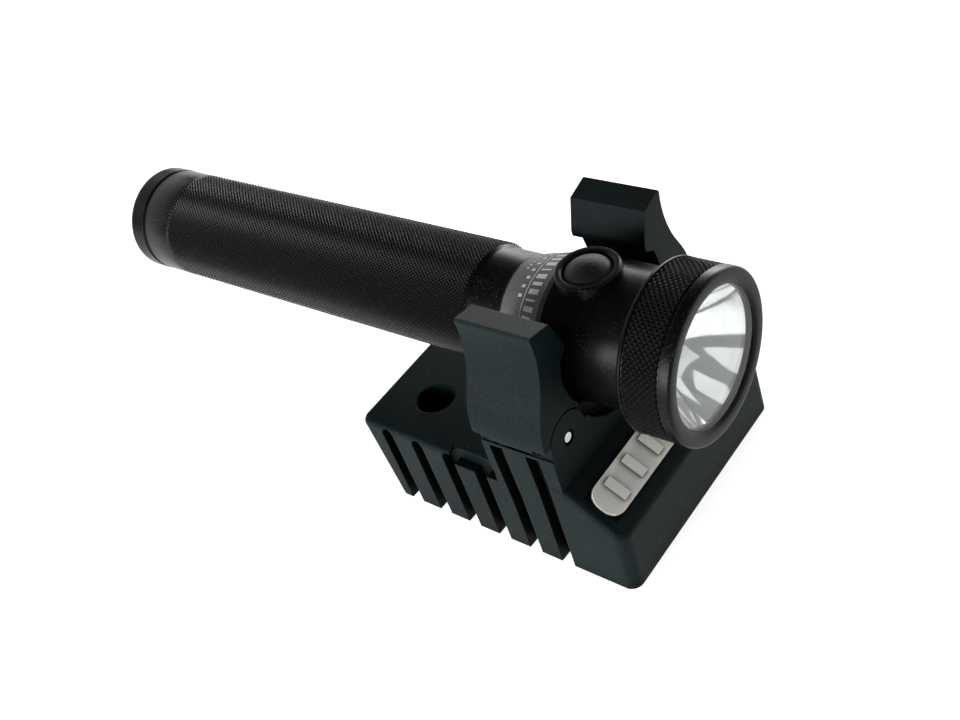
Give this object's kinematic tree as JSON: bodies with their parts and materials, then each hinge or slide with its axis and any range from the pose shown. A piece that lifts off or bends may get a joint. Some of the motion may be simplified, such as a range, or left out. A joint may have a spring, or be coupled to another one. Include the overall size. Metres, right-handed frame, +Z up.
{
  "type": "rechargeable flashlight with charging cradle",
  "caption": "Black aluminium duty flashlight with knurled grip, side switch and flared head, docked in a ribbed charging cradle with swing-out holding arms.",
  "frame": {"origin": "on the cradle's flat underside, between its ends and below the flashlight's axis", "axes": "+X along the flashlight towards its lens, +Z up, +Y to the left of the light when looking along the beam"},
  "size_m": [0.187, 0.0666, 0.0706],
  "materials": {
    "black_anodised": "satin black anodising",
    "band_grey": "matt grey print",
    "black_rubber": "matt",
    "cradle_plastic": "satin",
    "plate_grey": "satin",
    "steel": "bright",
    "contact_brass": "bright",
    "lamp_glass": "clear",
    "lens_glass": "clear",
    "reflector_mirror": "mirror",
    "cell_steel": "satin",
    "sleeve_plastic": "gloss",
    "board_green": "gloss",
    "insulator": "matt",
    "socket_ceramic": "matt",
    "filament_metal": "dull"
  },
  "bodies": {
    "cradle": {"cradle_housing": "cradle_plastic", "bottom_plate": "cradle_plastic", "bottom_plate_screws": "steel", "left_arm_pin": "steel", "right_arm_pin": "steel", "left_arm_spring": "steel", "right_arm_spring": "steel", "contact_block": "insulator", "left_plunger_spring": "steel", "right_plunger_spring": "steel", "circuit_board": "board_green", "power_socket": "insulator", "name_plate": "plate_grey"},
    "left_arm": {"left_arm": "cradle_plastic"},
    "right_arm": {"right_arm": "cradle_plastic"},
    "left_plunger": {"left_charge_plunger": "contact_brass"},
    "right_plunger": {"right_charge_plunger": "contact_brass"},
    "flashlight": {"barrel": "black_anodised", "switch_housing": "black_anodised", "name_band": "band_grey", "battery_cells": "cell_steel", "battery_sleeve": "sleeve_plastic", "battery_front_contact": "contact_brass", "switch_module": "insulator", "switch_spring": "steel", "switch_retaining_ring": "black_anodised", "charge_contacts": "contact_brass", "contact_bushes": "insulator", "lamp_socket": "socket_ceramic", "lamp_bulb": "lamp_glass", "lamp_pins": "steel", "lamp_filament": "filament_metal", "neck_o_ring": "black_rubber"},
    "switch_button": {"switch_boot": "black_rubber", "switch_plunger": "insulator"},
    "head": {"head_shell": "black_anodised", "reflector": "reflector_mirror", "lens": "lens_glass", "lens_gasket": "black_rubber"},
    "tail_cap": {"tail_cap": "black_anodised", "tail_cap_o_ring": "black_rubber", "tail_spring": "steel", "spare_lamp_holder": "black_rubber", "spare_lamp": "lamp_glass"}
  },
  "joints": [
    {"name": "flashlight_lift", "type": "slide", "parent": "cradle", "child": "flashlight", "axis": [0, 0, 1], "range_m": [0, 0.08]},
    {"name": "left_arm_swing", "type": "hinge", "parent": "cradle", "child": "left_arm", "pos_m": [0.01215, 0.0246, 0.0385], "axis": [-1, 0, 0], "range_deg": [0, 12], "stiffness_Nm_per_rad": 0.05},
    {"name": "right_arm_swing", "type": "hinge", "parent": "cradle", "child": "right_arm", "pos_m": [0.01215, -0.0246, 0.0385], "axis": [1, 0, 0], "range_deg": [0, 12], "stiffness_Nm_per_rad": 0.05},
    {"name": "left_plunger_press", "type": "slide", "parent": "cradle", "child": "left_plunger", "axis": [0, 0, -1], "range_m": [0, 0.001], "deforming": ["left_plunger_spring"]},
    {"name": "right_plunger_press", "type": "slide", "parent": "cradle", "child": "right_plunger", "axis": [0, 0, -1], "range_m": [0, 0.001], "deforming": ["right_plunger_spring"]},
    {"name": "switch_press", "type": "slide", "parent": "flashlight", "child": "switch_button", "axis": [0, 0, -1], "range_m": [0, 0.0016], "deforming": ["switch_spring"]},
    {"name": "head_focus", "type": "hinge", "parent": "flashlight", "child": "head", "pos_m": [0.036, 0, 0.0495], "axis": [1, 0, 0], "range_deg": [0, 270]},
    {"name": "tail_cap_turn", "type": "hinge", "parent": "flashlight", "child": "tail_cap", "pos_m": [-0.1377, 0, 0.0495], "axis": [-1, 0, 0], "range_deg": [0, 540]}
  ]
}
